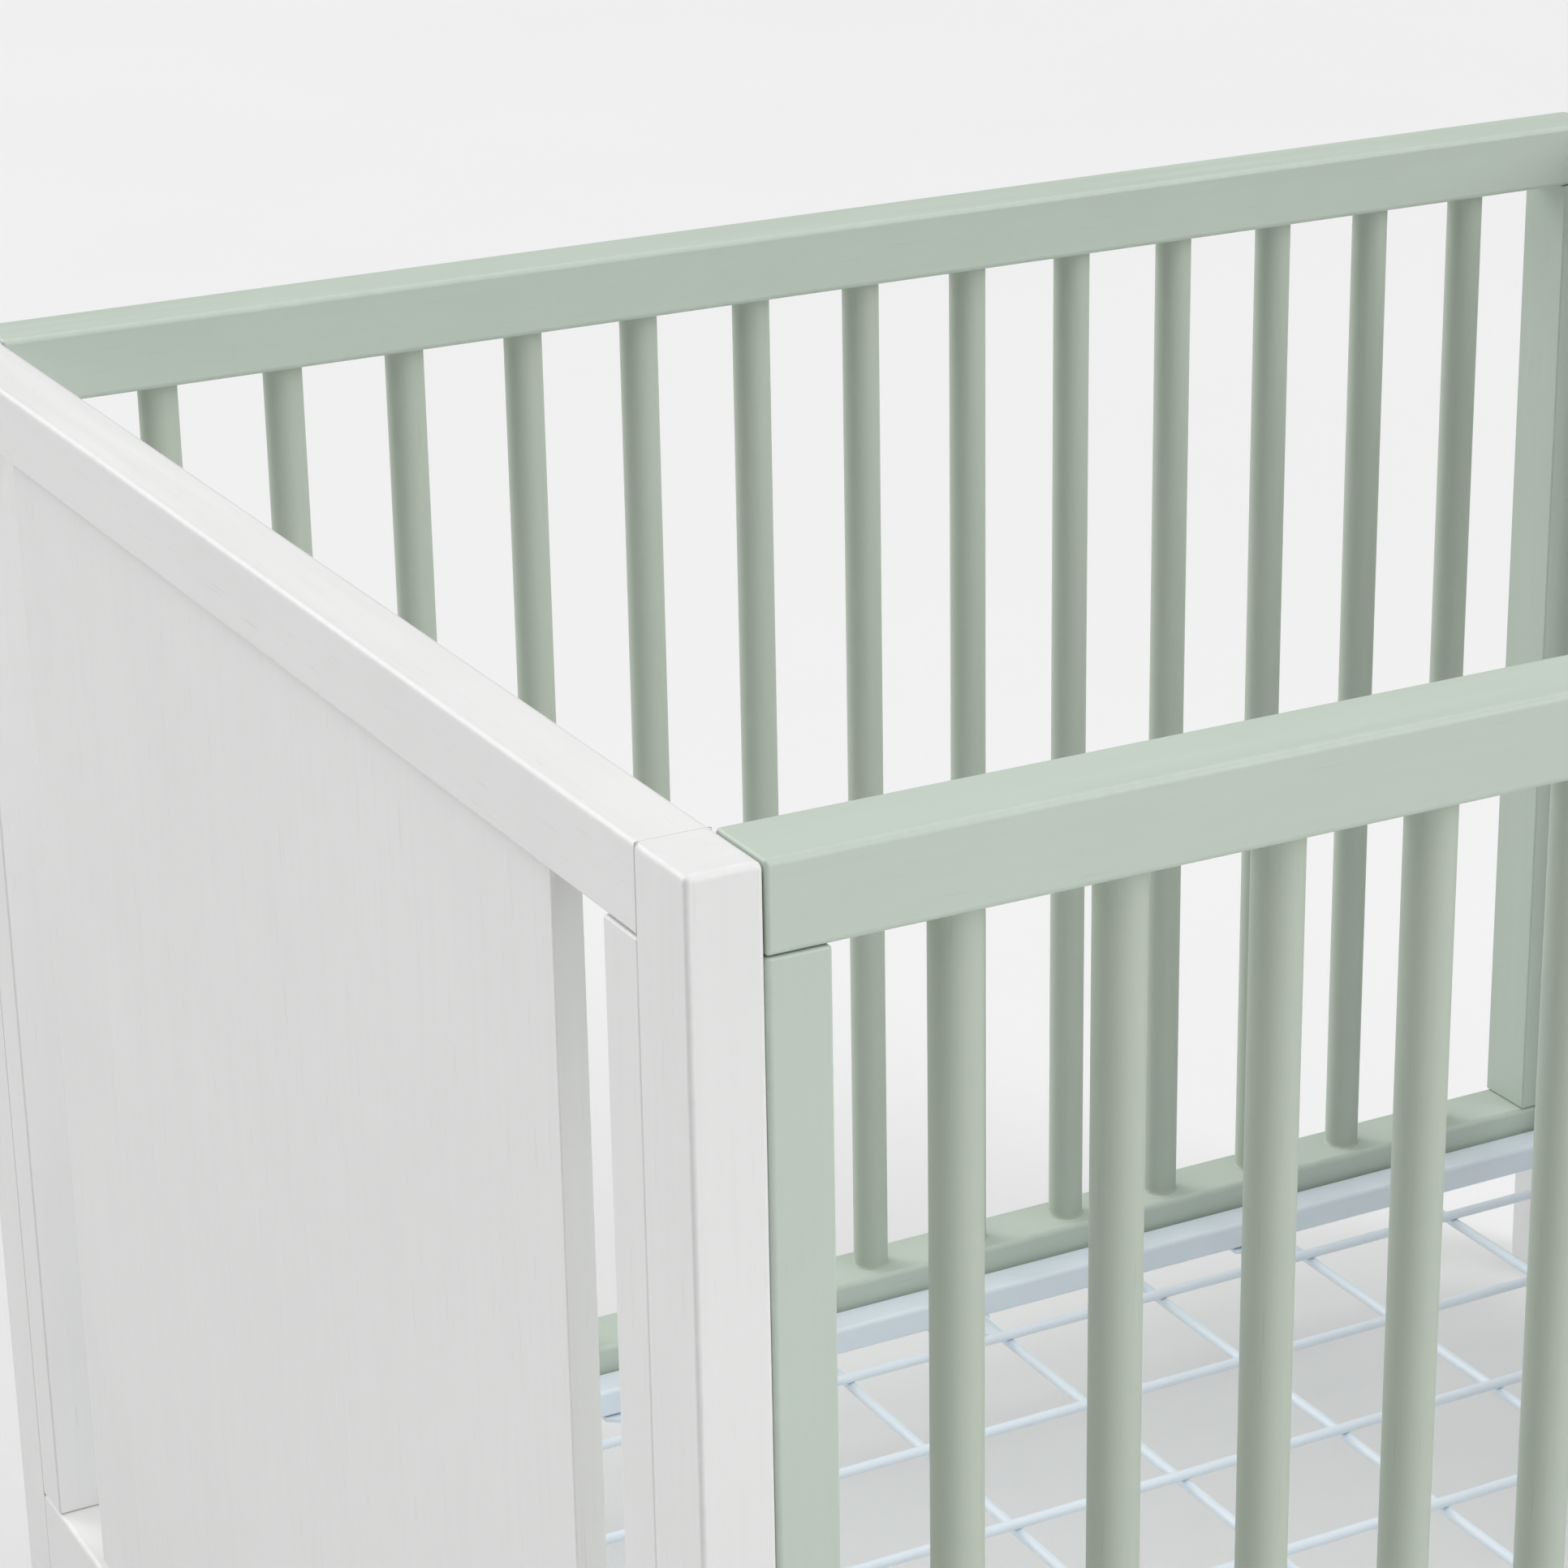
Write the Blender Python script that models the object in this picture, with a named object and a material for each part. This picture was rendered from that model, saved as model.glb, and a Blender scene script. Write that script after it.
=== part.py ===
"""A free-standing playpen.

Two white panelled ends, two sage-green spindle sides and a powder-coated steel base
that can be set at different heights.  +X runs along the spindle sides from the head end
to the foot end, +Y from the front side to the back side, +Z up from the floor.
"""

import math

import bmesh
import bpy
from mathutils import Vector

# Overall size, metres
LENGTH = 1.230
WIDTH = 1.000
HEIGHT = 0.900
GAP = 0.0003              # clearance between pieces that touch

# Posts, one at each corner
POST_X = 0.035
POST_Y = 0.045
POST_ROUND = 0.0035

# Rails
RAIL_HEIGHT = 0.042
END_BOTTOM_RAIL_HEIGHT = 0.060
BOTTOM_RAIL_TOP = 0.150   # in the ends and in the sides
TOP_RAIL_UNDERSIDE = HEIGHT - RAIL_HEIGHT
RAIL_ROUND = 0.0035
SIDE_SHADOW_GAP = 0.001   # visible gap between a side's rails and the posts

# Upright stiles beside the posts
SIDE_STILE = 0.030
END_STILE = 0.032
STILE_ROUND = 0.0015

# Flat panel in each end
PANEL_THICK = 0.015
PANEL_RECESS = 0.006
PANEL_SLOT = 0.064        # open slot between the panel and each stile
GROOVE_DEPTH = 0.008
PANEL_ROUND = 0.001

# Spindles
SPINDLE_COUNT = 13
SPINDLE_PITCH = 0.080
SPINDLE_RADIUS = 0.012
SOCKET_DEPTH = 0.012

# Steel base
BASE_CLEAR_X = 0.004      # to the ends' inner faces
BASE_CLEAR_Y = 0.002      # to the sides' inner faces
TUBE_WIDE = 0.025
TUBE_TALL = 0.020
TUBE_WALL = 0.0015
TUBE_ROUND = 0.003
TUBE_TOP = BOTTOM_RAIL_TOP - 0.0175
WIRE_RADIUS = 0.0035
WELD_DEPTH = 0.0005       # how far crossing wires sink into each other
CROSS_WIRES = 8
CROSS_WIRE_PITCH = 0.1265
LONG_WIRES = 8
LONG_WIRE_PITCH = 0.112
WIRE_LAP = 0.021          # how far a cross wire's end runs under the frame tube
TAB_THICK = 0.0024
TAB_DROP = 0.0004         # top of a tab below the top of its cross wire
TAB_LONG = 0.042
TAB_HOLE = 0.003
TAB_HOLE_X = 0.013        # hole's centre from the tab's edge beside the cross wire
TAB_HOLE_Y = 0.010        # hole's centre from the frame tube's inner side

# Steel ledges that carry the base
LEDGE_LONG = 0.700
LEDGE_REACH = 0.027
LEDGE_THICK = 0.0025
LEDGE_FOOT = 0.0925
LEDGE_UNDER = 0.0005      # top of the ledge below the base frame
SCREW_Y = 0.250
SCREW_Z = 0.100
SCREW_RADIUS = 0.0019
SCREW_HEAD = 0.0035
SCREW_HEAD_FACE = 0.00245
SCREW_HEAD_TALL = 0.002
SCREW_DEPTH = 0.020

# Facets of the round pieces
SPINDLE_SIDES = 24
SMALL_SIDES = 12
WIRE_SIDES = 8

CUT_LEAD = 0.002          # how far a cutter stands out of the face it cuts
SMOOTH_ANGLE = 35         # degrees; sharper edges than this stay sharp

ENDS = (("head", -1), ("foot", 1))
SIDES = (("front", -1), ("back", 1))
HALF_X = LENGTH / 2
HALF_Y = WIDTH / 2
INNER_X = HALF_X - POST_X
INNER_Y = HALF_Y - POST_Y
RAIL_Y = HALF_Y - POST_Y / 2


# ---------------------------------------------------------------- materials

def linear(level):
    """One sRGB level, 0 to 255, as a linear value."""
    value = level / 255
    if value <= 0.04045:
        return value / 12.92
    return ((value + 0.055) / 1.055) ** 2.4


def surface(name, rgb, roughness, metallic=0.0):
    material = bpy.data.materials.new(name)
    material.use_nodes = True
    shader = material.node_tree.nodes["Principled BSDF"]
    colour = (*(linear(level) for level in rgb), 1.0)
    shader.inputs["Base Color"].default_value = colour
    shader.inputs["Roughness"].default_value = roughness
    shader.inputs["Metallic"].default_value = metallic
    material.diffuse_color = colour
    return material


# ---------------------------------------------------------------- shapes

def finish_mesh(name, bm, material, parent=None, smooth=False):
    """Turn a bmesh in world coordinates into an object whose origin is at its centre."""
    points = [v.co.copy() for v in bm.verts]
    centre = Vector((min(p[i] for p in points) + max(p[i] for p in points)) / 2 for i in range(3))
    bmesh.ops.translate(bm, vec=-centre, verts=bm.verts)
    mesh = bpy.data.meshes.new(name)
    bm.to_mesh(mesh)
    bm.free()
    if smooth:
        mesh.shade_smooth()
        mesh.set_sharp_from_angle(angle=math.radians(SMOOTH_ANGLE))
    piece = bpy.data.objects.new(name, mesh)
    bpy.context.collection.objects.link(piece)
    piece.data.materials.append(material)
    if parent:
        piece.parent = parent
        piece.location = centre - parent.location
    else:
        piece.location = centre
    return piece


def add_box(bm, low, high, radius=0.0, along="", segments=2):
    """Add a box; its edges that run along the named axes are rounded."""
    low, high = Vector(low), Vector(high)
    corners = bmesh.ops.create_cube(bm, size=1.0)["verts"]
    for v in corners:
        v.co = Vector(low[i] if v.co[i] < 0 else high[i] for i in range(3))
    if not along:
        return
    rounded = []
    for edge in dict.fromkeys(e for v in corners for e in v.link_edges):
        run = edge.verts[1].co - edge.verts[0].co
        axis = max(range(3), key=lambda i: abs(run[i]))
        if "XYZ"[axis] in along:
            rounded.append(edge)
    bmesh.ops.bevel(bm, geom=rounded, offset=radius, segments=segments, profile=0.5,
                    affect="EDGES", clamp_overlap=True)


def block(name, corner, opposite, material, radius, along, segments=2):
    bm = bmesh.new()
    low = [min(a, b) for a, b in zip(corner, opposite)]
    high = [max(a, b) for a, b in zip(corner, opposite)]
    add_box(bm, low, high, radius, along, segments)
    return finish_mesh(name, bm, material)


def add_turned(bm, start, direction, profile, sides):
    """Add a solid of revolution; profile lists (distance along the axis, radius)."""
    axis = Vector(direction).normalized()
    turn = axis.to_track_quat("Z", "Y").to_matrix()
    rings = []
    for distance, radius in profile:
        centre = Vector(start) + axis * distance
        angles = (2 * math.pi * k / sides for k in range(sides))
        spokes = (turn @ Vector((math.cos(a), math.sin(a), 0)) for a in angles)
        rings.append([bm.verts.new(centre + spoke * radius) for spoke in spokes])
    for lower, upper in zip(rings, rings[1:]):
        for k in range(sides):
            after = (k + 1) % sides
            bm.faces.new((lower[k], lower[after], upper[after], upper[k]))
    bm.faces.new(list(reversed(rings[0])))
    bm.faces.new(rings[-1])


def add_hole(bm, start, direction, depth, radius, sides=SMALL_SIDES):
    """A cutter for a round hole; it stands a little out of the face it starts from."""
    mouth = Vector(start) - Vector(direction).normalized() * CUT_LEAD
    add_turned(bm, mouth, direction, [(0, radius), (depth + CUT_LEAD, radius)], sides)


def extrude(bm, face, move):
    """Extrude a face into a solid, with all its faces pointing out."""
    copied = bmesh.ops.extrude_face_region(bm, geom=[face])["geom"]
    corners = [item for item in copied if isinstance(item, bmesh.types.BMVert)]
    bmesh.ops.translate(bm, vec=move, verts=corners)
    bmesh.ops.recalc_face_normals(bm, faces=bm.faces)


def combine(piece, name, bm, operation):
    """Cut a bmesh's shapes, in world coordinates, out of a piece, or add them to it."""
    mesh = bpy.data.meshes.new(name)
    bm.to_mesh(mesh)
    bm.free()
    cutter = bpy.data.objects.new(name, mesh)
    bpy.context.collection.objects.link(cutter)
    cutter.hide_render = True
    cutter.display_type = "WIRE"
    modifier = piece.modifiers.new(name, "BOOLEAN")
    modifier.operation = operation
    modifier.object = cutter


# ---------------------------------------------------------------- shared places

def evenly(count, pitch):
    """Places at an even pitch, centred on zero."""
    return [pitch * (k - (count - 1) / 2) for k in range(count)]


def spindle_places():
    return evenly(SPINDLE_COUNT, SPINDLE_PITCH)


def cross_wire_places():
    return evenly(CROSS_WIRES, CROSS_WIRE_PITCH)


# ---------------------------------------------------------------- the two ends

def panel_half_width():
    return INNER_Y - GAP - END_STILE - PANEL_SLOT


def make_end_rail(name, end, low_z, high_z, groove_z, paint):
    """A rail with a groove for the panel; groove_z is the face that the groove is cut into."""
    reach = INNER_Y - GAP
    rail = block(name, (end * INNER_X, -reach, low_z), (end * HALF_X, reach, high_z),
                 paint, RAIL_ROUND, "Y")
    into = 1 if groove_z == low_z else -1
    mouth = groove_z - into * CUT_LEAD
    floor = groove_z + into * (GROOVE_DEPTH + GAP)
    outer = end * (HALF_X - PANEL_RECESS + GAP)
    inner = end * (HALF_X - PANEL_RECESS - PANEL_THICK - GAP)
    across = panel_half_width() + GAP
    groove = bmesh.new()
    add_box(groove, (min(inner, outer), -across, min(mouth, floor)),
            (max(inner, outer), across, max(mouth, floor)))
    combine(rail, f"groove_{name}", groove, "DIFFERENCE")
    return rail


def make_end(end_name, end, paint):
    for side_name, side in SIDES:
        block(f"{end_name}_post_{side_name}", (end * INNER_X, side * INNER_Y, 0),
              (end * HALF_X, side * HALF_Y, HEIGHT), paint, POST_ROUND, "XYZ")
    make_end_rail(f"{end_name}_top_rail", end, TOP_RAIL_UNDERSIDE, HEIGHT,
                  TOP_RAIL_UNDERSIDE, paint)
    bottom = make_end_rail(f"{end_name}_bottom_rail", end,
                           BOTTOM_RAIL_TOP - END_BOTTOM_RAIL_HEIGHT, BOTTOM_RAIL_TOP,
                           BOTTOM_RAIL_TOP, paint)
    pilots = bmesh.new()
    for side in (-1, 1):
        add_hole(pilots, (end * INNER_X, side * SCREW_Y, SCREW_Z), (end, 0, 0),
                 SCREW_DEPTH + GAP, SCREW_RADIUS + GAP)
    combine(bottom, f"pilots_{end_name}_bottom_rail", pilots, "DIFFERENCE")
    outer = INNER_Y - GAP
    for side_name, side in SIDES:
        block(f"{end_name}_stile_{side_name}",
              (end * INNER_X, side * (outer - END_STILE), BOTTOM_RAIL_TOP + GAP),
              (end * HALF_X, side * outer, TOP_RAIL_UNDERSIDE - GAP),
              paint, STILE_ROUND, "XYZ", segments=1)
    face = HALF_X - PANEL_RECESS
    block(f"{end_name}_panel",
          (end * (face - PANEL_THICK), -panel_half_width(), BOTTOM_RAIL_TOP - GROOVE_DEPTH),
          (end * face, panel_half_width(), TOP_RAIL_UNDERSIDE + GROOVE_DEPTH),
          paint, PANEL_ROUND, "Z", segments=1)


# ---------------------------------------------------------------- the two sides

def make_side_rail(name, side, low_z, socket_z, paint):
    """A rail with a socket for each spindle; socket_z is the face that they are bored into."""
    reach = INNER_X - SIDE_SHADOW_GAP
    rail = block(name, (-reach, side * INNER_Y, low_z), (reach, side * HALF_Y, low_z + RAIL_HEIGHT),
                 paint, RAIL_ROUND, "X")
    into = 1 if socket_z == low_z else -1
    sockets = bmesh.new()
    for x in spindle_places():
        add_hole(sockets, (x, side * RAIL_Y, socket_z), (0, 0, into),
                 SOCKET_DEPTH + GAP, SPINDLE_RADIUS + GAP, SPINDLE_SIDES)
    combine(rail, f"sockets_{name}", sockets, "DIFFERENCE")


def make_spindle(name, x, side, paint):
    bm = bmesh.new()
    foot = BOTTOM_RAIL_TOP - SOCKET_DEPTH
    length = TOP_RAIL_UNDERSIDE + SOCKET_DEPTH - foot
    add_turned(bm, (x, side * RAIL_Y, foot), (0, 0, 1),
               [(0, SPINDLE_RADIUS), (length, SPINDLE_RADIUS)], SPINDLE_SIDES)
    finish_mesh(name, bm, paint, smooth=True)


def make_side(side_name, side, paint):
    make_side_rail(f"{side_name}_top_rail", side, TOP_RAIL_UNDERSIDE, TOP_RAIL_UNDERSIDE, paint)
    make_side_rail(f"{side_name}_bottom_rail", side, BOTTOM_RAIL_TOP - RAIL_HEIGHT,
                   BOTTOM_RAIL_TOP, paint)
    for end_name, end in ENDS:
        outer = INNER_X - GAP
        block(f"{side_name}_stile_{end_name}",
              (end * (outer - SIDE_STILE), side * INNER_Y, BOTTOM_RAIL_TOP + GAP),
              (end * outer, side * HALF_Y, TOP_RAIL_UNDERSIDE - GAP),
              paint, STILE_ROUND, "XYZ", segments=1)
    for index, x in enumerate(spindle_places(), start=1):
        make_spindle(f"{side_name}_spindle_{index:02d}", x, side, paint)


# ---------------------------------------------------------------- ledges for the base

def make_ledge(name, end, steel):
    """An angle screwed to an end's bottom rail; the base frame rests on it."""
    top = TUBE_TOP - TUBE_TALL - LEDGE_UNDER
    back = INNER_X - GAP
    tip = back - LEDGE_REACH
    front = back - LEDGE_THICK
    underside = top - LEDGE_THICK
    profile = [(back, LEDGE_FOOT), (back, top), (tip, top), (tip, underside),
               (front, underside), (front, LEDGE_FOOT)]
    bm = bmesh.new()
    outline = bm.faces.new([bm.verts.new((end * x, -LEDGE_LONG / 2, z)) for x, z in profile])
    extrude(bm, outline, (0, LEDGE_LONG, 0))
    ledge = finish_mesh(name, bm, steel)
    holes = bmesh.new()
    for side in (-1, 1):
        add_hole(holes, (end * front, side * SCREW_Y, SCREW_Z), (end, 0, 0),
                 LEDGE_THICK + CUT_LEAD, SCREW_RADIUS + GAP)
    combine(ledge, f"holes_{name}", holes, "DIFFERENCE")


def make_ledge_screw(name, end, side, steel):
    bm = bmesh.new()
    seat = INNER_X - 2 * GAP - LEDGE_THICK
    add_turned(bm, (end * (seat - SCREW_HEAD_TALL), side * SCREW_Y, SCREW_Z), (end, 0, 0),
               [(0, SCREW_HEAD_FACE), (SCREW_HEAD_TALL / 2, SCREW_HEAD),
                (SCREW_HEAD_TALL, SCREW_HEAD), (SCREW_HEAD_TALL, SCREW_RADIUS),
                (SCREW_HEAD_TALL + SCREW_DEPTH, SCREW_RADIUS)], SMALL_SIDES)
    finish_mesh(name, bm, steel, smooth=True)


def make_ledges(steel):
    for end_name, end in ENDS:
        make_ledge(f"base_ledge_{end_name}", end, steel)
        for side_name, side in SIDES:
            make_ledge_screw(f"ledge_screw_{end_name}_{side_name}", end, side, steel)


# ---------------------------------------------------------------- the steel base

def section(wide, tall, radius, steps=2):
    """Corner-rounded rectangle about the origin, anticlockwise."""
    points = []
    for corner, (sx, sy) in enumerate(((1, 1), (-1, 1), (-1, -1), (1, -1))):
        for k in range(steps + 1):
            angle = math.pi / 2 * (corner + k / steps)
            points.append((sx * (wide / 2 - radius) + radius * math.cos(angle),
                           sy * (tall / 2 - radius) + radius * math.sin(angle)))
    return points


def make_tube(name, start, run, powder, parent):
    """A hollow rectangular tube, open at both ends, along X or Y."""
    bm = bmesh.new()
    along = Vector(run)
    across = Vector((0, 0, 1)).cross(along.normalized())
    outline = section(TUBE_WIDE, TUBE_TALL, TUBE_ROUND)
    hollow = section(TUBE_WIDE - 2 * TUBE_WALL, TUBE_TALL - 2 * TUBE_WALL, TUBE_ROUND - TUBE_WALL)
    loops = []
    for shape in (outline, hollow):
        for offset in (Vector((0, 0, 0)), along):
            centre = Vector(start) + offset
            loops.append([bm.verts.new(centre + across * u + Vector((0, 0, v))) for u, v in shape])
    outer_near, outer_far, inner_near, inner_far = loops
    count = len(outline)
    for k in range(count):
        after = (k + 1) % count
        bm.faces.new((outer_near[k], outer_near[after], outer_far[after], outer_far[k]))
        bm.faces.new((inner_near[after], inner_near[k], inner_far[k], inner_far[after]))
        bm.faces.new((outer_near[after], outer_near[k], inner_near[k], inner_near[after]))
        bm.faces.new((outer_far[k], outer_far[after], inner_far[after], inner_far[k]))
    bmesh.ops.recalc_face_normals(bm, faces=bm.faces)
    finish_mesh(name, bm, powder, parent)


def base_outer():
    return INNER_X - BASE_CLEAR_X, INNER_Y - BASE_CLEAR_Y


def add_wire(bm, start, run):
    add_turned(bm, start, run, [(0, WIRE_RADIUS), (Vector(run).length, WIRE_RADIUS)], WIRE_SIDES)


def add_tabs(bm, top):
    """Corner plates beside every second cross wire, turned half round on the front."""
    middle = base_outer()[1] - TUBE_WIDE / 2
    for turn in (1, -1):
        for x in cross_wire_places()[::2]:
            outline = [(x, middle), (x - TAB_LONG, middle),
                       (x - TAB_LONG, middle - TUBE_WIDE / 2), (x, middle - TAB_LONG)]
            corners = [bm.verts.new((turn * u, turn * v, top - TAB_THICK)) for u, v in outline]
            extrude(bm, bm.faces.new(corners), (0, 0, TAB_THICK))


def add_tab_holes(bm, top):
    inner = base_outer()[1] - TUBE_WIDE
    for turn in (1, -1):
        for x in cross_wire_places()[::2]:
            place = (turn * (x - TAB_HOLE_X), turn * (inner - TAB_HOLE_Y), top)
            add_hole(bm, place, (0, 0, -1), TAB_THICK + CUT_LEAD, TAB_HOLE)


def make_wire_mesh(powder, parent):
    """Cross wires under the side tubes, with the long wires welded on top of them."""
    reach_x, reach_y = base_outer()
    cross_z = TUBE_TOP - TUBE_TALL - GAP - WIRE_RADIUS
    long_z = cross_z + 2 * WIRE_RADIUS - WELD_DEPTH
    tip_x = reach_x - TUBE_WIDE - GAP
    tip_y = reach_y - TUBE_WIDE + WIRE_LAP
    long_wires = bmesh.new()
    for y in evenly(LONG_WIRES, LONG_WIRE_PITCH):
        add_wire(long_wires, (-tip_x, y, long_z), (2 * tip_x, 0, 0))
    grid = finish_mesh("base_wire_mesh", long_wires, powder, parent)
    cross_wires = bmesh.new()
    for x in cross_wire_places():
        add_wire(cross_wires, (x, -tip_y, cross_z), (0, 2 * tip_y, 0))
    combine(grid, "cross_wires", cross_wires, "UNION")
    tab_top = cross_z + WIRE_RADIUS - TAB_DROP
    tabs = bmesh.new()
    add_tabs(tabs, tab_top)
    combine(grid, "tabs", tabs, "UNION")
    holes = bmesh.new()
    add_tab_holes(holes, tab_top)
    combine(grid, "tab_holes", holes, "DIFFERENCE")


def make_base(powder):
    """The steel base, held by an empty on the line along which it is raised."""
    lift = bpy.data.objects.new("base_height_axis", None)
    lift.location = (0, 0, TUBE_TOP)
    bpy.context.collection.objects.link(lift)
    reach_x, reach_y = base_outer()
    middle_z = TUBE_TOP - TUBE_TALL / 2
    for side_name, side in SIDES:
        y = side * (reach_y - TUBE_WIDE / 2)
        make_tube(f"base_tube_{side_name}", (-reach_x, y, middle_z), (2 * reach_x, 0, 0),
                  powder, lift)
    between = reach_y - TUBE_WIDE - GAP
    for end_name, end in ENDS:
        x = end * (reach_x - TUBE_WIDE / 2)
        make_tube(f"base_tube_{end_name}", (x, -between, middle_z), (0, 2 * between, 0),
                  powder, lift)
    make_wire_mesh(powder, lift)


def main():
    for old in list(bpy.data.objects):
        bpy.data.objects.remove(old, do_unlink=True)
    white = surface("white_lacquer", (240, 240, 239), 0.38)
    green = surface("sage_lacquer", (196, 207, 194), 0.42)
    powder = surface("pale_powder_coat", (214, 222, 229), 0.45)
    zinc = surface("zinc_plated_steel", (170, 174, 178), 0.35, 1.0)
    for end_name, end in ENDS:
        make_end(end_name, end, white)
    for side_name, side in SIDES:
        make_side(side_name, side, green)
    make_base(powder)
    make_ledges(zinc)


main()
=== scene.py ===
import math

import bmesh
import bpy
from mathutils import Euler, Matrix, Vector, noise


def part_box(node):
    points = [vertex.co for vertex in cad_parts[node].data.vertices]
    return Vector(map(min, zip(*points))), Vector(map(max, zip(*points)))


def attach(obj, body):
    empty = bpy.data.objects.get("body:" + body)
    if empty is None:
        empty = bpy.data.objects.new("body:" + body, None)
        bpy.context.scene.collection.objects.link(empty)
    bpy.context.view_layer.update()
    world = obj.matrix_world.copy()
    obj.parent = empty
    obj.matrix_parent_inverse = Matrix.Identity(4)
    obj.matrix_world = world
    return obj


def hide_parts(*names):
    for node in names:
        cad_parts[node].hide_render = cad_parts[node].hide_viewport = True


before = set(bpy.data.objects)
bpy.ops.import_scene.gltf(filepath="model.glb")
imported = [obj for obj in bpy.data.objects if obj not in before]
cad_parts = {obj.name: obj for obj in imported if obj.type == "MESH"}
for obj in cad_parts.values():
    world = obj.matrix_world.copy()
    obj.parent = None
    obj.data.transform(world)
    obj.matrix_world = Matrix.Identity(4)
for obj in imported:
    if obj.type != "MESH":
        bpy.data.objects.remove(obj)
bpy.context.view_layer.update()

# All lengths are in metres. X runs from head to foot, Y from front to back.
ENDS = ("head", "foot")
SIDES = ("front", "back")

# Rounding of the timber's arrises
POST_ROUND = 0.0036        # round the top and the foot
POST_CORNER = 0.0026       # upright edges away from the end rail
POST_TO_RAIL = 0.0004      # edges beside the end rail
RAIL_ROUND = 0.0036        # long edges of every rail
END_RAIL_TIP = 0.0004      # end rail's edges beside the post
SIDE_RAIL_TIP = 0.0019     # side rail's edges beside the post
STILE_ROUND = 0.0014
SIDE_STILE_OUTER = 0.0028  # side stile's upright edges beside the post
PANEL_ROUND = 0.0010
ARRIS_STEPS = 5
END_RAIL_TRIM = 0.0004     # opens the hairline joint between an end rail and its post

SPINDLE_RADIUS = 0.012
SPINDLE_STEPS = 56
SPINDLE_IN_RAIL = 0.001    # how far a shown spindle reaches into its rail
PAINT_FILLET = 0.0009      # paint gathered where a spindle meets a rail
PAINT_STEPS = 4
PAINT_END = 0.004          # from the rail's face to where the plain spindle starts

TUBE_ROUND = 0.0032
TUBE_WALL = 0.0015
TUBE_LIP = 0.0004          # bevel on the cut ends
TUBE_STEPS = 6
WIRE_RADIUS = 0.0035
WIRE_STEPS = 20
WIRE_COUNT = 8             # in each direction
CROSS_PITCH = 0.1265
LONG_PITCH = 0.112

# Half sizes of the weld beads along X, Y and Z
CROSS_WELD = (0.0052, 0.0030, 0.0022)
LONG_WELD = (0.0024, 0.0052, 0.0046)
WELD_LUMPS = 0.22

TAB_LONG = 0.042
TAB_THICK = 0.0024
TAB_SUNK = 0.0004          # below the tops of the cross wires
TAB_HOLE_RADIUS = 0.003
TAB_HOLE_STEPS = 40
TAB_HOLE_X = 0.013         # from the cross wire
TAB_HOLE_Y = 0.010         # from the tube

SCREW_STEPS = 48
TAB_SCREW_RADIUS = 0.0046
TAB_SCREW_HEAD = 0.0026
TAB_SCREW_SHANK = 0.004
LEDGE_SCREW_HEAD = 0.002

WHITE = (0.845, 0.845, 0.840)
SAGE = (0.550, 0.627, 0.552)
SHADED_TURNED_SAGE = (0.490, 0.552, 0.470)   # the spindles' paint is more olive, and about a tenth darker as painted shade between the spindles
POWDER = (0.785, 0.862, 0.930)
ZINC_TINT = (0.60, 0.61, 0.63)
BLUED_TINT = (0.10, 0.17, 0.27)

# Noise fields of the finishes: scale, detail, roughness, distortion
GRAIN = (210.0, 5.0, 0.62, 0.25)
PORES = (620.0, 2.0, 0.5)
PAINT_CLOUDS = (9.0, 3.0, 0.55)
BRUSH_MARKS = (90.0, 3.0, 0.6)
PAINT_PEEL = (900.0, 2.0, 0.5)
RUBBING = (120.0, 4.0, 0.65)
POWDER_PEEL = (700.0, 3.0, 0.6)
POWDER_CLOUDS = (14.0, 3.0, 0.5)
POWDER_SPECKS = (1500.0, 1.0, 0.5)
ZINC_MOTTLE = (60.0, 4.0, 0.65)
ROLLING_MARKS = (500.0, 3.0, 0.6)
BLUED_FILM = (300.0, 4.0, 0.6)
FLOOR_CLOUDS = (1.5, 2.0)
NOISE_RANGE = (0.3, 0.7)   # nearly all of a noise field lies between these

PLAIN = (1.0, 1.0, 1.0)
GRAIN_STRETCH = 0.035      # scale along the grain, against 1 across it
ROLLED = (1.0, 0.04, 1.0)  # scale of the rolling marks, which run along Y

# Each soft light: where it shines from, its angular size in degrees, and its strength
LIGHTS = {
    "overhead": ((0.0, 0.0, 1.0), 90.0, 2.20),
    "right": ((0.60, -0.80, 0.45), 40.0, 1.35),
    "left_back": ((-0.50, 0.86, 0.45), 40.0, 1.45),
}
LAMP_DISTANCE = 3.0        # only where the lamp's symbol stands
ROOM_LIGHT = 0.04          # how strongly the room lights the scene
ROOM_SHOWN = 0.86          # how bright it looks past the floor's edge, the same from all sides
FLOOR_REACH = 40.0
FLOOR_COLOUR = (0.80, 0.80, 0.80)

# Fitted to the photo without lens shift; angles in radians, lens and sensor in millimetres
CAMERA_PLACE = (-1.2953, -1.8942, 1.5152)
CAMERA_HEADING, CAMERA_DROP, CAMERA_ROLL = 0.4795, 0.3561, -0.0182
CAMERA_LENS = 98.05
CAMERA_SENSOR = 36.0
CAMERA_REACH = 200.0


# ---------------------------------------------------------------- node helpers

def new_material(name):
    material = bpy.data.materials.new(name)
    material.use_nodes = True
    tree = material.node_tree
    return material, tree, tree.nodes["Principled BSDF"]


def add(tree, kind, **values):
    """Add a node; values name its properties or, by title, its input sockets."""
    made = tree.nodes.new(kind)
    for key, value in values.items():
        if hasattr(made, key):
            setattr(made, key, value)
        else:
            made.inputs[key.replace("_", " ")].default_value = value
    return made


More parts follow.
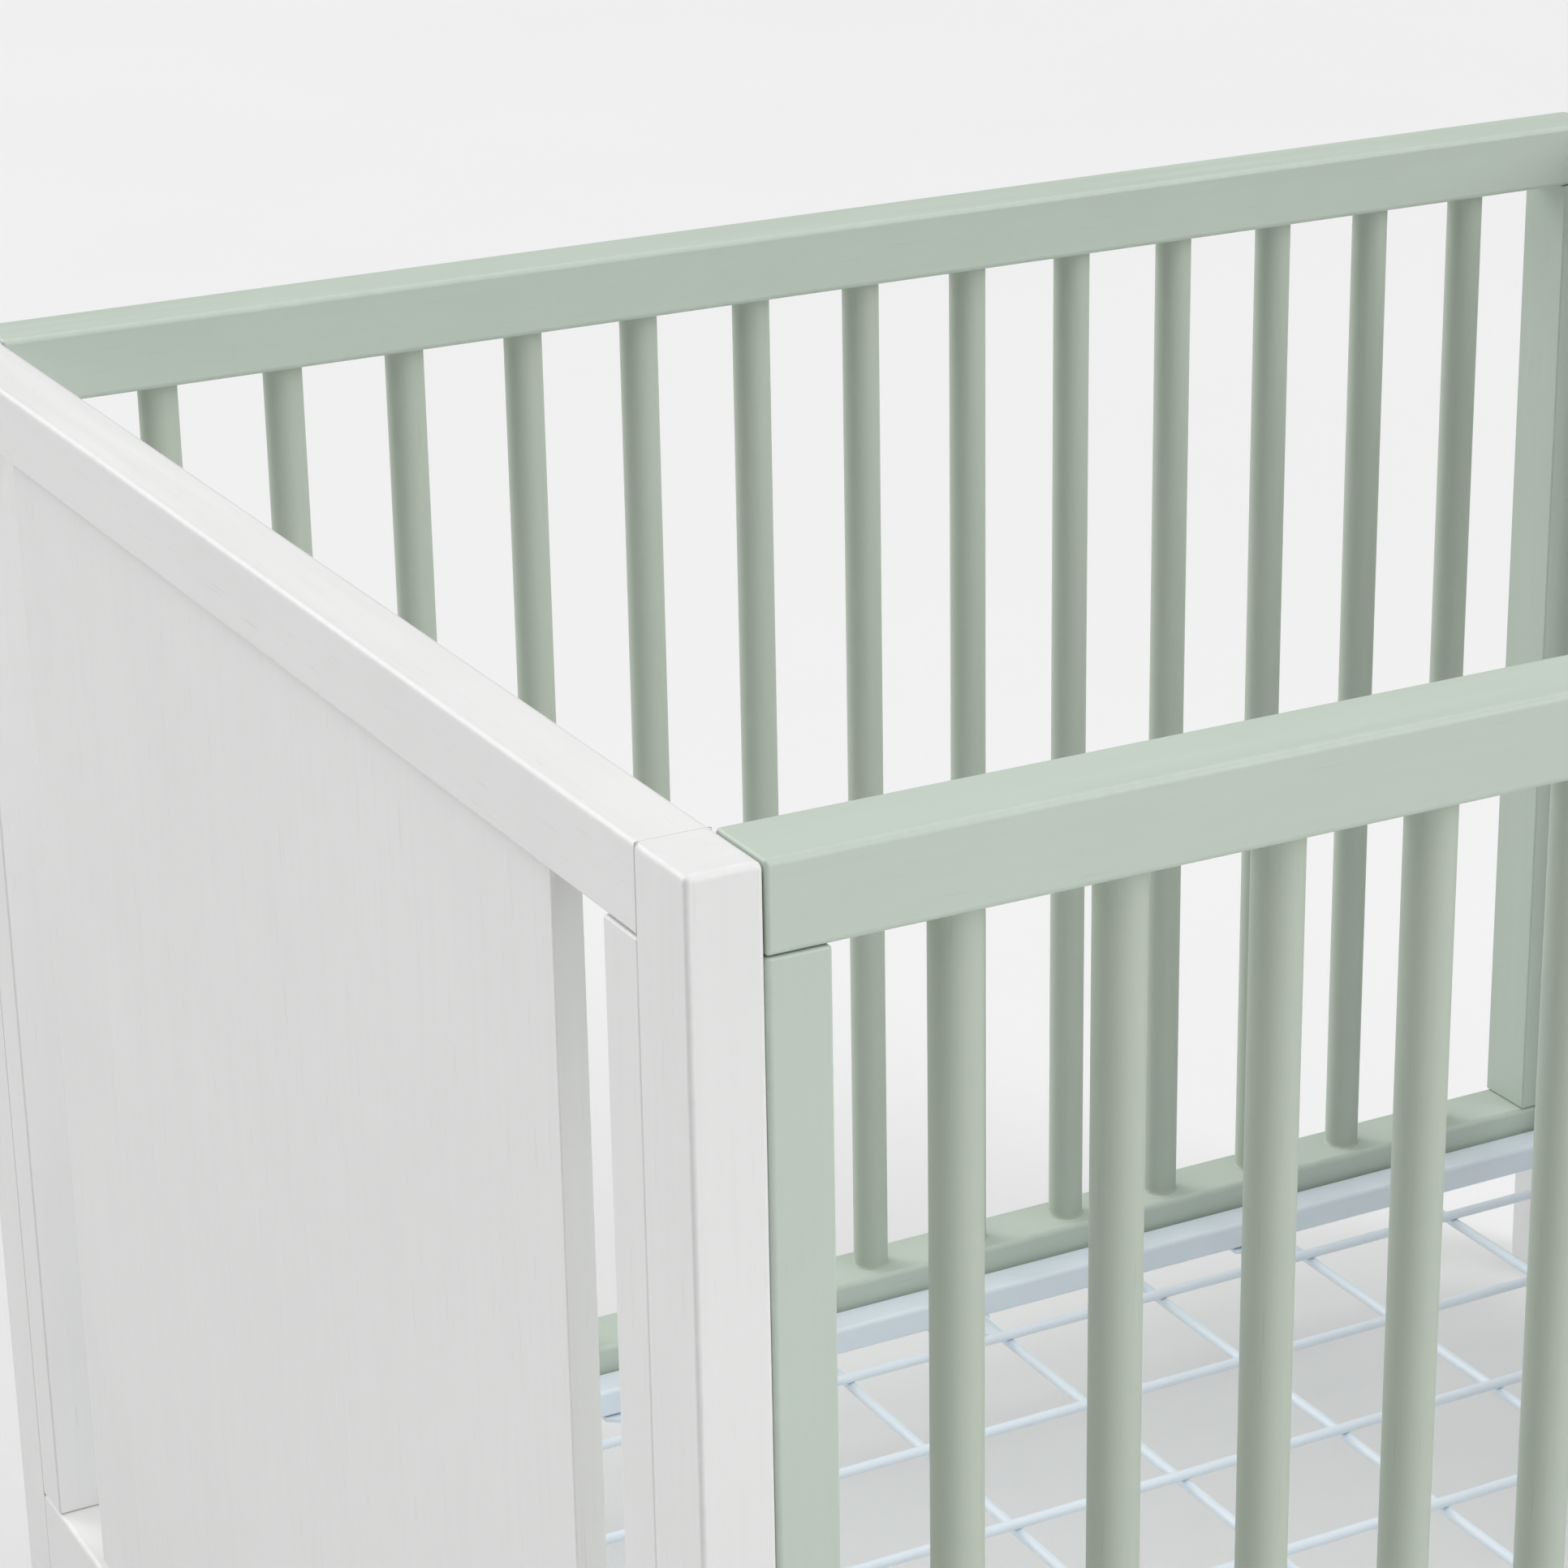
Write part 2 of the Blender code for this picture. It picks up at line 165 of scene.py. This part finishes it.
def stretched(tree, stretch):
    """Object coordinates, scaled along each axis."""
    place = add(tree, "ShaderNodeTexCoord")
    scaled = add(tree, "ShaderNodeMapping")
    scaled.inputs["Scale"].default_value = stretch
    tree.links.new(place.outputs["Object"], scaled.inputs["Vector"])
    return scaled.outputs["Vector"]


def noise_field(tree, where, scale, detail, rough=0.5, distortion=0.0):
    field = add(tree, "ShaderNodeTexNoise", Scale=scale, Detail=detail, Roughness=rough,
                Distortion=distortion)
    tree.links.new(where, field.inputs["Vector"])
    return field.outputs["Fac"]


def spread(tree, field, low, high, to_low, to_high):
    """A field from low to high, spread over the range to_low to to_high."""
    fitted = add(tree, "ShaderNodeMapRange")
    tree.links.new(field, fitted.inputs["Value"])
    ends = {"From Min": low, "From Max": high, "To Min": to_low, "To Max": to_high}
    for name, value in ends.items():
        fitted.inputs[name].default_value = value
    return fitted.outputs["Result"]


def varied(tree, field, to_low, to_high):
    """A noise field, spread over a range."""
    return spread(tree, field, *NOISE_RANGE, to_low, to_high)


def product(tree, first, second):
    made = add(tree, "ShaderNodeMath", operation="MULTIPLY")
    tree.links.new(first, made.inputs[0])
    tree.links.new(second, made.inputs[1])
    return made.outputs["Value"]


def tinted(tree, colour, factor):
    """The colour, made darker or lighter by a factor field."""
    made = add(tree, "ShaderNodeVectorMath", operation="SCALE")
    made.inputs[0].default_value = colour
    tree.links.new(factor, made.inputs["Scale"])
    return made.outputs["Vector"]


def bumped(tree, shader, layers):
    """Chain bump nodes; layers lists (field, strength, distance)."""
    normal = None
    for field, strength, distance in layers:
        bump = add(tree, "ShaderNodeBump", Strength=strength, Distance=distance)
        tree.links.new(field, bump.inputs["Height"])
        if normal:
            tree.links.new(normal, bump.inputs["Normal"])
        normal = bump.outputs["Normal"]
    tree.links.new(normal, shader.inputs["Normal"])


# ---------------------------------------------------------------- finishes

def lacquer(name, colour, grain_axis, worn=False):
    """Satin paint on planed timber: the grain runs along one axis and shows faintly through."""
    material, tree, shader = new_material(name)
    stretch = list(PLAIN)
    stretch["XYZ".index(grain_axis)] = GRAIN_STRETCH
    along = stretched(tree, stretch)
    plain = stretched(tree, PLAIN)
    grain = noise_field(tree, along, *GRAIN)
    pores = noise_field(tree, along, *PORES)
    clouds = noise_field(tree, plain, *PAINT_CLOUDS)
    brush = noise_field(tree, along, *BRUSH_MARKS)
    peel = noise_field(tree, plain, *PAINT_PEEL)
    shade = product(tree, varied(tree, grain, 0.988, 1.008), varied(tree, clouds, 0.985, 1.010))
    shade = product(tree, shade, spread(tree, pores, 0.67, 0.76, 1.0, 0.92))
    if worn:
        rubbed = noise_field(tree, plain, *RUBBING)
        shade = product(tree, shade, spread(tree, rubbed, 0.35, 0.7, 1.02, 0.97))
    tree.links.new(tinted(tree, colour, shade), shader.inputs["Base Color"])
    roughness = (0.36, 0.48) if worn else (0.42, 0.56)
    tree.links.new(varied(tree, brush, *roughness), shader.inputs["Roughness"])
    shader.inputs["Coat Weight"].default_value = 0.06
    shader.inputs["Coat Roughness"].default_value = 0.35
    bumped(tree, shader, ((grain, 0.10, 0.0006), (brush, 0.06, 0.0008), (peel, 0.05, 0.0002)))
    return material


def powder_coat():
    """Pale bluish powder coat over welded steel."""
    material, tree, shader = new_material("powder_coat")
    plain = stretched(tree, PLAIN)
    peel = noise_field(tree, plain, *POWDER_PEEL)
    clouds = noise_field(tree, plain, *POWDER_CLOUDS)
    specks = noise_field(tree, plain, *POWDER_SPECKS)
    shade = product(tree, varied(tree, clouds, 0.975, 1.015),
                    spread(tree, specks, 0.66, 0.76, 1.0, 0.95))
    tree.links.new(tinted(tree, POWDER, shade), shader.inputs["Base Color"])
    tree.links.new(varied(tree, peel, 0.32, 0.48), shader.inputs["Roughness"])
    bumped(tree, shader, ((peel, 0.16, 0.0003),))
    return material


def zinc():
    """Zinc-plated steel with a crystalline mottle and fine rolling marks."""
    material, tree, shader = new_material("zinc")
    mottle = noise_field(tree, stretched(tree, PLAIN), *ZINC_MOTTLE)
    marks = noise_field(tree, stretched(tree, ROLLED), *ROLLING_MARKS)
    shade = product(tree, varied(tree, mottle, 0.88, 1.05), varied(tree, marks, 0.95, 1.04))
    tree.links.new(tinted(tree, ZINC_TINT, shade), shader.inputs["Base Color"])
    shader.inputs["Metallic"].default_value = 1.0
    tree.links.new(varied(tree, mottle, 0.28, 0.45), shader.inputs["Roughness"])
    bumped(tree, shader, ((marks, 0.08, 0.0002),))
    return material


def blued_steel():
    """Blue-black steel, darker and lighter in spots."""
    material, tree, shader = new_material("blued_steel")
    film = noise_field(tree, stretched(tree, PLAIN), *BLUED_FILM)
    shade = varied(tree, film, 0.75, 1.35)
    tree.links.new(tinted(tree, BLUED_TINT, shade), shader.inputs["Base Color"])
    shader.inputs["Metallic"].default_value = 0.85
    tree.links.new(varied(tree, film, 0.28, 0.46), shader.inputs["Roughness"])
    bumped(tree, shader, ((film, 0.1, 0.0001),))
    return material


# Each timber finish by paint and grain axis: the faces' material, then the arrises'
FINISH = {
    (paint, axis): [lacquer(f"{paint}_{axis}", colour, axis),
                    lacquer(f"{paint}_{axis}_arris", colour, axis, True)]
    for paint, colour, axes in (
        ("white", WHITE, "YZ"), ("sage", SAGE, "XZ"), ("shaded_turned_sage", SHADED_TURNED_SAGE, "Z"))
    for axis in axes
}
STEEL_PAINT = powder_coat()
ZINC = zinc()
BLUED = blued_steel()


# ---------------------------------------------------------------- shapes

def place_piece(name, bm, finishes, body, nodes=()):
    """Turn a bmesh in world coordinates into a piece that rides on a body."""
    mesh = bpy.data.meshes.new(name)
    bm.to_mesh(mesh)
    bm.free()
    mesh.shade_smooth()
    piece = bpy.data.objects.new(name, mesh)
    bpy.context.collection.objects.link(piece)
    for finish in finishes:
        mesh.materials.append(finish)
    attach(piece, body)
    if nodes:
        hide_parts(*nodes)
    return piece


def sharpen(piece, degrees):
    piece.data.set_sharp_from_angle(angle=math.radians(degrees))


def node_corners(node):
    """The low and the high corner of a node's box."""
    return [Vector(corner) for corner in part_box(node)]


def timber(node, finish, round_of, trim=(0, 0, 0)):
    """A planed board in a node's box, less the trim; round_of gives each edge's radius.

    round_of is called with the edge's axis and its side, -1 or 1, along each axis.
    """
    low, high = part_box(node)
    low = [a + cut for a, cut in zip(low, trim)]
    high = [b - cut for b, cut in zip(high, trim)]
    middle = (Vector(low) + Vector(high)) / 2
    bm = bmesh.new()
    weights = bm.edges.layers.float.new("bevel_weight_edge")
    for v in bmesh.ops.create_cube(bm, size=1.0)["verts"]:
        v.co = Vector(low[i] if v.co[i] < 0 else high[i] for i in range(3))
    radii = {}
    for edge in bm.edges:
        run = edge.verts[1].co - edge.verts[0].co
        axis = max(range(3), key=lambda i: abs(run[i]))
        offset = (edge.verts[0].co + edge.verts[1].co) / 2 - middle
        sides = [0 if i == axis else math.copysign(1, offset[i]) for i in range(3)]
        radii[edge] = round_of("XYZ"[axis], sides)
    widest = max(radii.values())
    for edge, radius in radii.items():
        edge[weights] = radius / widest
    piece = place_piece(f"{node}_timber", bm, finish, "frame", [node])
    arris = piece.modifiers.new("arris", "BEVEL")
    arris.width = widest
    arris.segments = ARRIS_STEPS
    arris.limit_method = "WEIGHT"
    arris.harden_normals = True
    arris.material = 1


def add_loft(bm, rings, closed=False):
    """Faces between rings of points; the ends are capped, or joined if closed."""
    loops = [[bm.verts.new(point) for point in ring] for ring in rings]
    pairs = list(zip(loops, loops[1:]))
    if closed:
        pairs.append((loops[-1], loops[0]))
    count = len(loops[0])
    for lower, upper in pairs:
        for k in range(count):
            after = (k + 1) % count
            bm.faces.new((lower[k], lower[after], upper[after], upper[k]))
    if not closed:
        bm.faces.new(list(reversed(loops[0])))
        bm.faces.new(loops[-1])


def turned_rings(start, direction, profile, steps, radius_at=None):
    """Rings of a turned shape; profile lists (distance along the axis, radius)."""
    axis = Vector(direction).normalized()
    turn = axis.to_track_quat("Z", "Y").to_matrix()
    rings = []
    for distance, radius in profile:
        centre = Vector(start) + axis * distance
        ring = []
        for k in range(steps):
            angle = 2 * math.pi * k / steps
            reach = radius_at(distance, angle, radius) if radius_at else radius
            ring.append(centre + turn @ Vector((math.cos(angle), math.sin(angle), 0)) * reach)
        rings.append(ring)
    return rings


def mirrored(profile, length):
    """A profile followed by itself from the far end."""
    return profile + [(length - distance, radius) for distance, radius in reversed(profile)]


def rounded_rectangle(wide, tall, radius, steps):
    points = []
    for corner, (sx, sy) in enumerate(((1, 1), (-1, 1), (-1, -1), (1, -1))):
        for k in range(steps + 1):
            angle = math.pi / 2 * (corner + k / steps)
            points.append((sx * (wide / 2 - radius) + radius * math.cos(angle),
                           sy * (tall / 2 - radius) + radius * math.sin(angle)))
    return points


def evenly(count, pitch):
    """Places at an even pitch, centred on zero."""
    return [pitch * (k - (count - 1) / 2) for k in range(count)]


# ---------------------------------------------------------------- the timber frame

def end_sign(end_name):
    return -1 if end_name == "head" else 1


def side_sign(side_name):
    return -1 if side_name == "front" else 1


def make_post(end_name, side_name):
    inward = -side_sign(side_name)

    def round_of(axis, sides):
        if sides[1] == inward and axis != "Y":
            return POST_TO_RAIL
        return POST_CORNER if axis == "Z" else POST_ROUND

    timber(f"{end_name}_post_{side_name}", FINISH["white", "Z"], round_of)


def make_end(end_name):
    for side_name in SIDES:
        make_post(end_name, side_name)
        timber(f"{end_name}_stile_{side_name}", FINISH["white", "Z"],
               lambda axis, sides: STILE_ROUND)
    for level in ("top", "bottom"):
        timber(f"{end_name}_{level}_rail", FINISH["white", "Y"],
               lambda axis, sides: RAIL_ROUND if axis == "Y" else END_RAIL_TIP,
               trim=(0, END_RAIL_TRIM, 0))
    timber(f"{end_name}_panel", FINISH["white", "Z"],
           lambda axis, sides: PANEL_ROUND)


def make_side_stile(side_name, end_name):
    outward = end_sign(end_name)

    def round_of(axis, sides):
        beside_post = sides[0] == outward and axis == "Z"
        return SIDE_STILE_OUTER if beside_post else STILE_ROUND

    timber(f"{side_name}_stile_{end_name}", FINISH["sage", "Z"], round_of)


def spindle_profile(length):
    """A straight turning with a little paint gathered where it meets each rail."""
    widest = SPINDLE_RADIUS + PAINT_FILLET
    rise = [(0.0, widest), (SPINDLE_IN_RAIL, widest)]
    for k in range(1, PAINT_STEPS + 1):
        angle = math.pi / 2 * k / PAINT_STEPS
        rise.append((SPINDLE_IN_RAIL + PAINT_FILLET * math.sin(angle),
                     SPINDLE_RADIUS + PAINT_FILLET * (1 - math.sin(angle))))
    rise.append((SPINDLE_IN_RAIL + PAINT_END, SPINDLE_RADIUS))
    return mirrored(rise, length)


def make_spindle(node, rail_below, rail_above):
    low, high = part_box(node)
    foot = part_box(rail_below)[1][2] - SPINDLE_IN_RAIL
    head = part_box(rail_above)[0][2] + SPINDLE_IN_RAIL
    centre = ((low[0] + high[0]) / 2, (low[1] + high[1]) / 2, foot)
    bm = bmesh.new()
    add_loft(bm, turned_rings(centre, (0, 0, 1), spindle_profile(head - foot), SPINDLE_STEPS))
    # the spindles take the more olive sage, whose extra darkness is painted shade
    piece = place_piece(f"{node}_turning", bm, FINISH["shaded_turned_sage", "Z"][:1], "frame",
                        [node])
    sharpen(piece, 60)


def make_side(side_name):
    for level in ("top", "bottom"):
        timber(f"{side_name}_{level}_rail", FINISH["sage", "X"],
               lambda axis, sides: RAIL_ROUND if axis == "X" else SIDE_RAIL_TIP)
    for end_name in ENDS:
        make_side_stile(side_name, end_name)
    for node in sorted(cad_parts):
        if node.startswith(f"{side_name}_spindle_"):
            make_spindle(node, f"{side_name}_bottom_rail", f"{side_name}_top_rail")


# ---------------------------------------------------------------- the steel base

def make_tube(node):
    """A rolled rectangular tube, open at both ends."""
    low, high = node_corners(node)
    size = high - low
    run = 0 if size[0] > size[1] else 1
    across = 1 - run
    middle = (low + high) / 2

    def section(inset):
        """The tube's outline, drawn in by an inset."""
        return rounded_rectangle(size[across] - 2 * inset, size[2] - 2 * inset,
                                 TUBE_ROUND - inset, TUBE_STEPS)

    def ring(inset, distance):
        points = []
        for u, v in section(inset):
            point = middle.copy()
            point[run] = distance
            point[across] += u
            point[2] += v
            points.append(point)
        return points

    start, stop = low[run], high[run]
    rings = [ring(TUBE_LIP, start), ring(0, start + TUBE_LIP), ring(0, stop - TUBE_LIP),
             ring(TUBE_LIP, stop), ring(TUBE_WALL, stop), ring(TUBE_WALL, start)]
    bm = bmesh.new()
    add_loft(bm, rings, closed=True)
    bmesh.ops.recalc_face_normals(bm, faces=bm.faces)
    piece = place_piece(f"{node}_tube", bm, [STEEL_PAINT], "base", [node])
    piece.modifiers.new("flat_faces", "WEIGHTED_NORMAL").keep_sharp = True


def wire_rings(start, direction, length):
    """A drawn wire with softly sheared ends."""
    ease = WIRE_RADIUS * 0.35
    tip = [(0, WIRE_RADIUS - ease), (ease * 0.4, WIRE_RADIUS - ease * 0.3), (ease, WIRE_RADIUS)]
    return turned_rings(start, direction, mirrored(tip, length), WIRE_STEPS)


def add_weld(bm, centre, size, seed):
    """A small uneven weld bead."""
    for v in bmesh.ops.create_icosphere(bm, subdivisions=3, radius=1.0)["verts"]:
        lumps = 1 + WELD_LUMPS * noise.noise(v.co * 1.9 + Vector((seed, 0.0, 0.0)))
        v.co = Vector(centre) + Vector(v.co[i] * size[i] * lumps for i in range(3))


def pierced_plate(bm, corners, hole, hole_radius, bottom, top):
    """A flat plate with a round hole; corners run anticlockwise round the hole."""
    centre = Vector((*hole, 0))
    angles = [2 * math.pi * k / TAB_HOLE_STEPS for k in range(TAB_HOLE_STEPS)]
    angles += [math.atan2(y - hole[1], x - hole[0]) % (2 * math.pi) for x, y in corners]
    outline, bore = [], []
    for angle in sorted(angles):
        ray = Vector((math.cos(angle), math.sin(angle), 0))
        outline.append(centre + ray * edge_distance(corners, hole, ray))
        bore.append(centre + ray * hole_radius)
    levels = []
    for ring, z in ((outline, bottom), (outline, top), (bore, top), (bore, bottom)):
        levels.append([Vector((p.x, p.y, z)) for p in ring])
    add_loft(bm, levels, closed=True)


def edge_distance(corners, origin, ray):
    """Distance from the origin along a ray to the outline that surrounds it."""
    nearest = math.inf
    for a, b in zip(corners, corners[1:] + corners[:1]):
        edge = (b[0] - a[0], b[1] - a[1])
        cross = ray.x * edge[1] - ray.y * edge[0]
        if abs(cross) < 1e-12:
            continue
        to_a = (a[0] - origin[0], a[1] - origin[1])
        along = (to_a[0] * edge[1] - to_a[1] * edge[0]) / cross
        share = (to_a[0] * ray.y - to_a[1] * ray.x) / cross
        if along > 0 and -1e-9 <= share <= 1 + 1e-9:
            nearest = min(nearest, along)
    return nearest


def make_wires():
    low, high = node_corners("base_wire_mesh")
    bm = bmesh.new()
    for x in evenly(WIRE_COUNT, CROSS_PITCH):
        start = (x, low.y, low.z + WIRE_RADIUS)
        add_loft(bm, wire_rings(start, (0, 1, 0), high.y - low.y))
    for y in evenly(WIRE_COUNT, LONG_PITCH):
        start = (low.x, y, high.z - WIRE_RADIUS)
        add_loft(bm, wire_rings(start, (1, 0, 0), high.x - low.x))
    piece = place_piece("base_wires", bm, [STEEL_PAINT], "base",
                        ["base_wire_mesh"])
    sharpen(piece, 50)


def make_welds():
    """Beads where the wires end on the tubes."""
    low, high = node_corners("base_wire_mesh")
    beside_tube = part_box("base_tube_back")[0][1] + 0.0015
    cross_height = low.z + WIRE_RADIUS + WIRE_RADIUS * 0.8
    long_height = high.z - WIRE_RADIUS - 0.0006
    bm = bmesh.new()
    for index, x in enumerate(evenly(WIRE_COUNT, CROSS_PITCH)):
        for side in (-1, 1):
            add_weld(bm, (x, side * beside_tube, cross_height), CROSS_WELD, index + 10 * side)
    for index, y in enumerate(evenly(WIRE_COUNT, LONG_PITCH)):
        for end in (-1, 1):
            spot = (end * (high.x - 0.001), y, long_height)
            add_weld(bm, spot, LONG_WELD, index + 10 * end + 40)
    place_piece("base_welds", bm, [STEEL_PAINT], "base")


def make_tabs():
    """Pierced corner plates between every other cross wire and a tube, each with a screw."""
    tube_low, tube_high = node_corners("base_tube_back")
    outer = (tube_low.y + tube_high.y) / 2
    shoulder = tube_low.y
    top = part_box("base_wire_mesh")[0][2] + WIRE_RADIUS + WIRE_RADIUS - TAB_SUNK
    places = [(x, turn) for turn in (1, -1) for x in evenly(WIRE_COUNT, CROSS_PITCH)[::2]]
    bm = bmesh.new()
    for x, turn in places:
        corners = [(x, outer), (x - TAB_LONG, outer), (x - TAB_LONG, shoulder),
                   (x, outer - TAB_LONG)]
        hole = (turn * (x - TAB_HOLE_X), turn * (shoulder - TAB_HOLE_Y))
        pierced_plate(bm, [(turn * u, turn * v) for u, v in corners], hole, TAB_HOLE_RADIUS,
                      top - TAB_THICK, top)
    bmesh.ops.recalc_face_normals(bm, faces=bm.faces)
    plates = place_piece("base_tab_plates", bm, [STEEL_PAINT], "base")
    sharpen(plates, 40)
    for index, (x, turn) in enumerate(places, start=1):
        start = (turn * (x - TAB_HOLE_X), turn * (shoulder - TAB_HOLE_Y), top - TAB_SCREW_SHANK)
        make_screw(f"tab_screw_{index}", start, (0, 0, 1), TAB_SCREW_RADIUS, TAB_SCREW_HEAD,
                   TAB_SCREW_SHANK, BLUED, "base")


# ---------------------------------------------------------------- screws and ledges

def socket_rings(start, direction, head, tall, shank):
    """Rings of a button-head screw from its shank's tip round to its six-sided socket."""
    key = head * 0.46
    shaft = head * 0.54
    brim = shank + tall
    profile = [(0, shaft * 0.7), (shank * 0.15, shaft), (shank, shaft), (shank, head * 0.96),
               (shank + tall * 0.08, head)]
    for k in range(1, 7):
        angle = math.pi / 2 * k / 7
        profile.append((shank + tall * (0.08 + 0.92 * math.sin(angle)),
                        head * (0.62 + 0.38 * math.cos(angle))))
    profile += [(brim, key * 1.12), (brim - tall * 0.03, key), (brim - tall * 0.6, key),
                (brim - tall * 0.7, key * 0.3)]

    def radius_at(distance, angle, radius):
        if radius > key * 1.05 or distance < shank + tall * 0.2:
            return radius
        part = (angle % (math.pi / 3)) - math.pi / 6
        return radius * math.cos(math.pi / 6) / math.cos(part)

    return turned_rings(start, direction, profile, SCREW_STEPS, radius_at)


def make_screw(name, start, direction, head, tall, shank, finish, body, nodes=()):
    """A screw from its tip; head is the head's radius and tall its height."""
    bm = bmesh.new()
    add_loft(bm, socket_rings(start, direction, head, tall, shank))
    piece = place_piece(name, bm, [finish], body, nodes)
    sharpen(piece, 35)


def make_ledges():
    """The ledges keep their CAD shape; their screws are turned."""
    for end_name in ENDS:
        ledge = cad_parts[f"base_ledge_{end_name}"]
        ledge.data.materials.clear()
        ledge.data.materials.append(ZINC)
        out = end_sign(end_name)
        for side_name in SIDES:
            node = f"ledge_screw_{end_name}_{side_name}"
            low, high = node_corners(node)
            tip = (high.x if out > 0 else low.x, (low.y + high.y) / 2, (low.z + high.z) / 2)
            shank = high.x - low.x - LEDGE_SCREW_HEAD
            make_screw(f"{node}_head", tip, (-out, 0, 0), (high.z - low.z) / 2,
                       LEDGE_SCREW_HEAD, shank, ZINC, "frame", [node])


# ---------------------------------------------------------------- stage

def make_floor():
    material, tree, shader = new_material("floor")
    clouds = noise_field(tree, stretched(tree, PLAIN), *FLOOR_CLOUDS)
    shade = varied(tree, clouds, 0.995, 1.005)
    tree.links.new(tinted(tree, FLOOR_COLOUR, shade), shader.inputs["Base Color"])
    shader.inputs["Roughness"].default_value = 0.8
    bm = bmesh.new()
    bmesh.ops.create_grid(bm, x_segments=4, y_segments=4, size=FLOOR_REACH)
    mesh = bpy.data.meshes.new("floor")
    bm.to_mesh(mesh)
    bm.free()
    mesh.materials.append(material)
    floor = bpy.data.objects.new("floor", mesh)
    bpy.context.collection.objects.link(floor)


def make_light():
    """Three soft suns in a room that looks white past the floor but hardly lights the scene."""
    world = bpy.data.worlds.new("studio")
    world.use_nodes = True
    tree = world.node_tree
    background = tree.nodes["Background"]
    background.inputs["Color"].default_value = (1.0, 1.0, 1.0, 1.0)
    seen = add(tree, "ShaderNodeLightPath").outputs["Is Camera Ray"]
    tree.links.new(spread(tree, seen, 0.0, 1.0, ROOM_LIGHT, ROOM_SHOWN),
                   background.inputs["Strength"])
    bpy.context.scene.world = world
    bpy.context.scene.view_settings.view_transform = "Standard"
    for name, (direction, angle, strength) in LIGHTS.items():
        data = bpy.data.lights.new(name, "SUN")
        data.angle = math.radians(angle)
        data.energy = strength
        lamp = bpy.data.objects.new(name, data)
        lamp.location = Vector(direction) * LAMP_DISTANCE
        lamp.rotation_euler = Vector(direction).to_track_quat("Z", "Y").to_euler()
        bpy.context.collection.objects.link(lamp)


def make_camera():
    """A long lens above the corner where the head end meets the front side."""
    data = bpy.data.cameras.new("camera")
    data.sensor_width = CAMERA_SENSOR
    data.lens = CAMERA_LENS
    data.dof.use_dof = False
    data.clip_end = CAMERA_REACH
    camera = bpy.data.objects.new("camera", data)
    camera.location = CAMERA_PLACE
    aim = Euler((math.pi / 2 - CAMERA_DROP, 0, -CAMERA_HEADING)).to_matrix()
    camera.rotation_euler = (aim @ Euler((0, 0, CAMERA_ROLL)).to_matrix()).to_euler()
    bpy.context.collection.objects.link(camera)
    bpy.context.scene.camera = camera


make_camera()
for end_name in ENDS:
    make_end(end_name)
for side_name in SIDES:
    make_side(side_name)
for place in SIDES + ENDS:
    make_tube(f"base_tube_{place}")
make_wires()
make_welds()
make_tabs()
make_ledges()
make_floor()
make_light()
